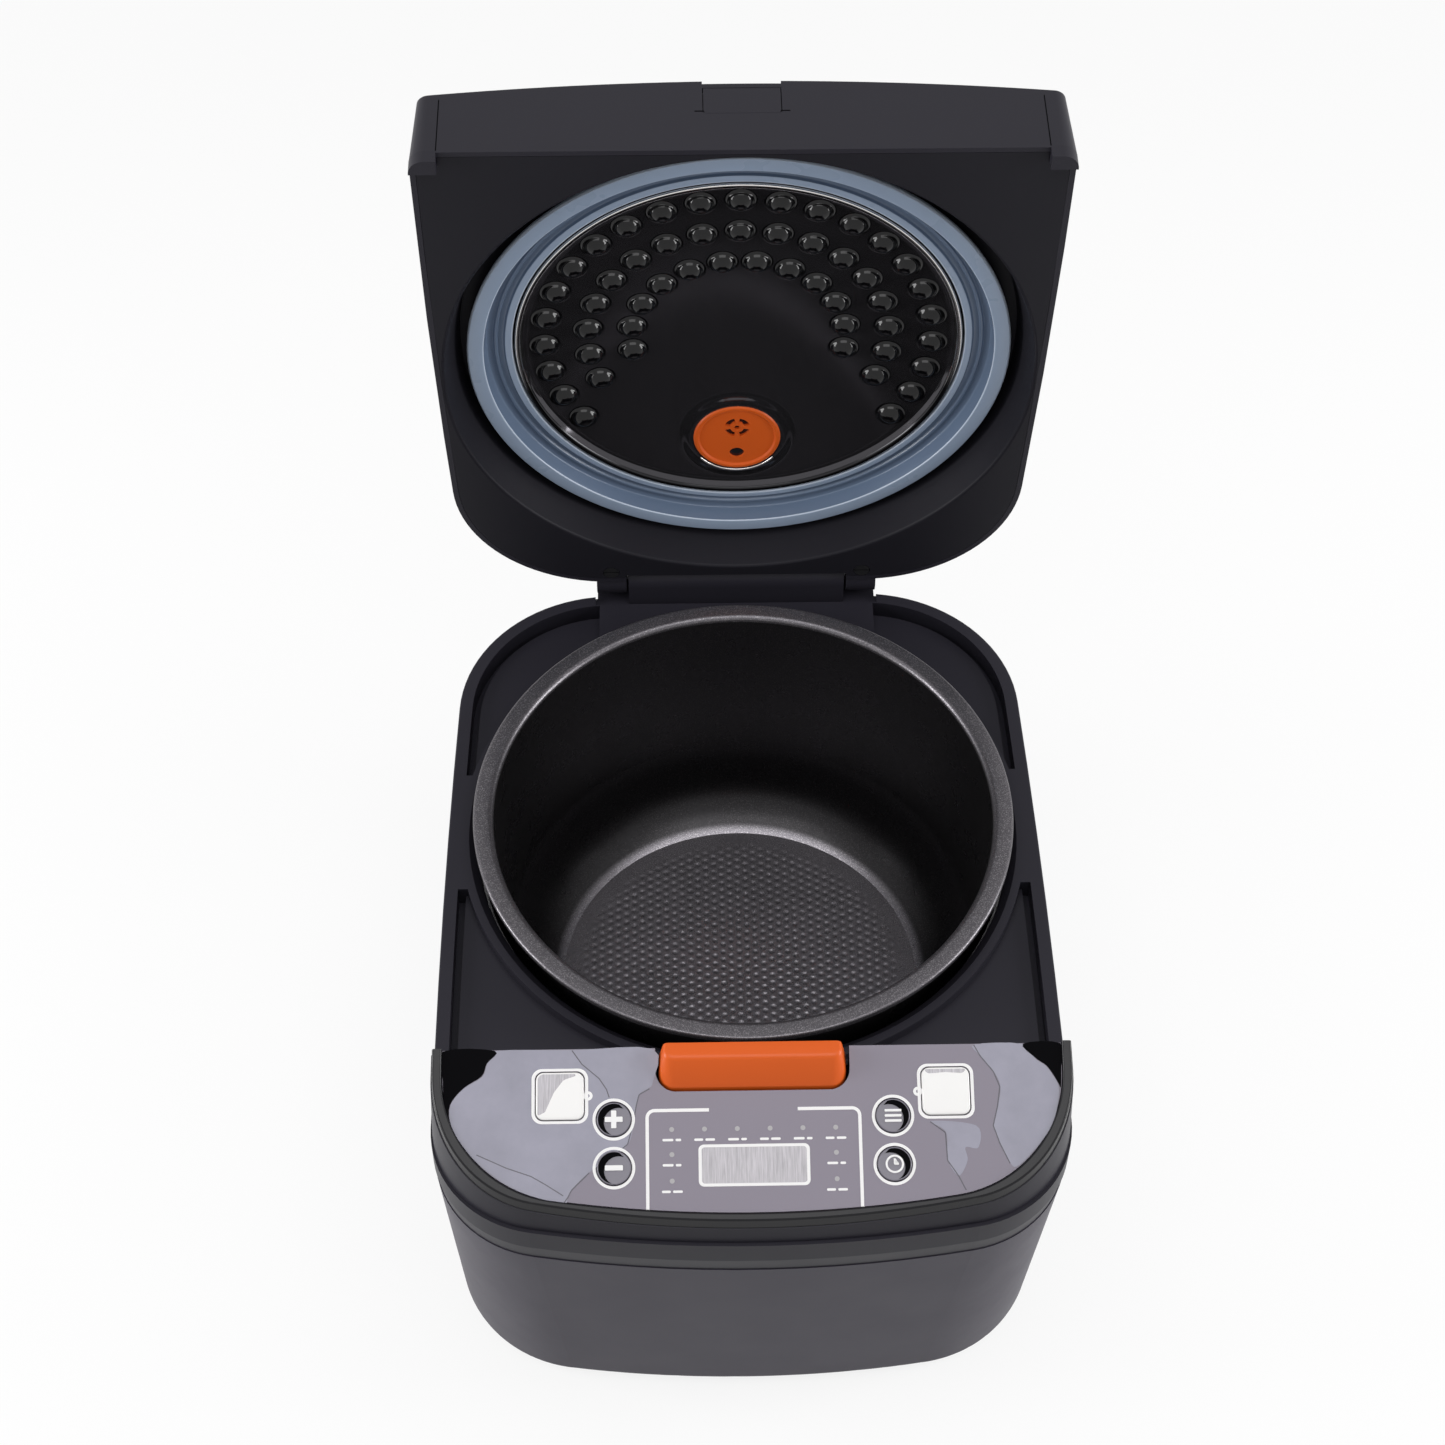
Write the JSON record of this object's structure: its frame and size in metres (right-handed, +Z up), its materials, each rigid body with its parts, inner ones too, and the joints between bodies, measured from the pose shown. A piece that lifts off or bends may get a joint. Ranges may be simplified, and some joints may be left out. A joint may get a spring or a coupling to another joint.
{
  "type": "electric multicooker",
  "caption": "Square electric multicooker with a hinged domed lid, a lift-out coated pot, a sloping key panel with a display and a front lid latch.",
  "frame": {"origin": "On the table, under the middle of the whole cooker with its lid open.", "axes": "+Z up, -Y towards the user (control panel), +X to the user's right."},
  "size_m": [0.2664, 0.3944, 0.4592],
  "materials": {
    "charcoal": "fine satin",
    "black": "satin",
    "soft_black": "matte",
    "panel": "gloss film",
    "key_grey": "gloss film",
    "clear": "clear",
    "lcd": "satin",
    "lamp": "translucent",
    "board": "solder mask",
    "steel": "plated",
    "aluminium": "cast and turned",
    "brass": "plated",
    "white": "gloss",
    "silicone": "translucent grey silicone",
    "dark_metal": "dark gloss coating over pressed metal",
    "coated_metal": "speckled non-stick coating",
    "orange": "satin gloss"
  },
  "bodies": {
    "base": {"outer_housing": "charcoal", "seam_ring": "charcoal", "base_plate": "black", "rubber_feet": "soft_black", "base_screws": "steel", "power_inlet": "black", "inlet_pins": "brass", "top_frame": "charcoal", "console_bezel": "black", "panel_overlay": "panel", "display_window": "clear", "control_board": "board", "board_screws": "steel", "display_module": "lcd", "indicator_leds": "lamp", "tact_switches": "black", "latch_pin": "steel", "latch_spring": "steel", "heating_plate": "aluminium", "heater_tube": "steel", "inner_liner": "steel", "liner_screws": "steel", "side_heater_band": "steel", "sensor_base": "aluminium", "sensor_spring": "steel", "thermal_fuse": "white", "power_board": "board", "power_components": "black", "hinge_springs": "steel"},
    "lid": {"lid_shell": "charcoal", "lid_top_cover": "charcoal", "lid_catch": "charcoal", "lid_inner_cover": "black", "lid_screws": "steel", "lid_seal": "silicone", "inner_plate": "dark_metal", "vent_valve": "orange", "steam_duct": "black", "hinge_pin": "steel"},
    "pot": {"inner_pot": "coated_metal"},
    "latch": {"latch_button": "orange"},
    "sensor": {"sensor_cap": "aluminium"},
    "steam_outlet": {"steam_cap": "black"},
    "cancel_key": {"cancel_button": "white"},
    "start_key": {"start_button": "white"},
    "plus_key": {"plus_button": "key_grey"},
    "minus_key": {"minus_button": "key_grey"},
    "menu_key": {"menu_button": "key_grey"},
    "timer_key": {"timer_button": "key_grey"}
  },
  "joints": [
    {"name": "lid_hinge", "type": "hinge", "parent": "base", "child": "lid", "pos_m": [0, 0.15565, 0.1794], "axis": [-1, 0, 0], "range_deg": [-87, 0], "stiffness_Nm_per_rad": 0.8, "springref_deg": 28.65},
    {"name": "pot_lift", "type": "slide", "parent": "base", "child": "pot", "axis": [0, 0, 1], "range_m": [0, 0.16]},
    {"name": "latch_rock", "type": "hinge", "parent": "base", "child": "latch", "pos_m": [0, -0.13315, 0.187], "axis": [1, 0, 0], "range_deg": [0, 4], "stiffness_Nm_per_rad": 1, "springref_deg": -5.73, "deforming": ["latch_spring"]},
    {"name": "sensor_press", "type": "slide", "parent": "base", "child": "sensor", "axis": [0, 0, 1], "range_m": [-0.0025, 0], "stiffness_N_per_m": 400, "springref_m": 0.002, "deforming": ["sensor_spring"]},
    {"name": "steam_cap_pull", "type": "slide", "parent": "lid", "child": "steam_outlet", "axis": [0, 1, -0.0059], "range_m": [0, 0.02]},
    {"name": "cancel_press", "type": "slide", "parent": "base", "child": "cancel_key", "axis": [0, -0.342, 0.9397], "range_m": [-0.0008, 0], "stiffness_N_per_m": 800, "springref_m": 0.0005},
    {"name": "start_press", "type": "slide", "parent": "base", "child": "start_key", "axis": [0, -0.342, 0.9397], "range_m": [-0.0008, 0], "stiffness_N_per_m": 800, "springref_m": 0.0005},
    {"name": "plus_press", "type": "slide", "parent": "base", "child": "plus_key", "axis": [0, -0.342, 0.9397], "range_m": [-0.0008, 0], "stiffness_N_per_m": 800, "springref_m": 0.0005},
    {"name": "minus_press", "type": "slide", "parent": "base", "child": "minus_key", "axis": [0, -0.342, 0.9397], "range_m": [-0.0008, 0], "stiffness_N_per_m": 800, "springref_m": 0.0005},
    {"name": "menu_press", "type": "slide", "parent": "base", "child": "menu_key", "axis": [0, -0.342, 0.9397], "range_m": [-0.0008, 0], "stiffness_N_per_m": 800, "springref_m": 0.0005},
    {"name": "timer_press", "type": "slide", "parent": "base", "child": "timer_key", "axis": [0, -0.342, 0.9397], "range_m": [-0.0008, 0], "stiffness_N_per_m": 800, "springref_m": 0.0005}
  ]
}
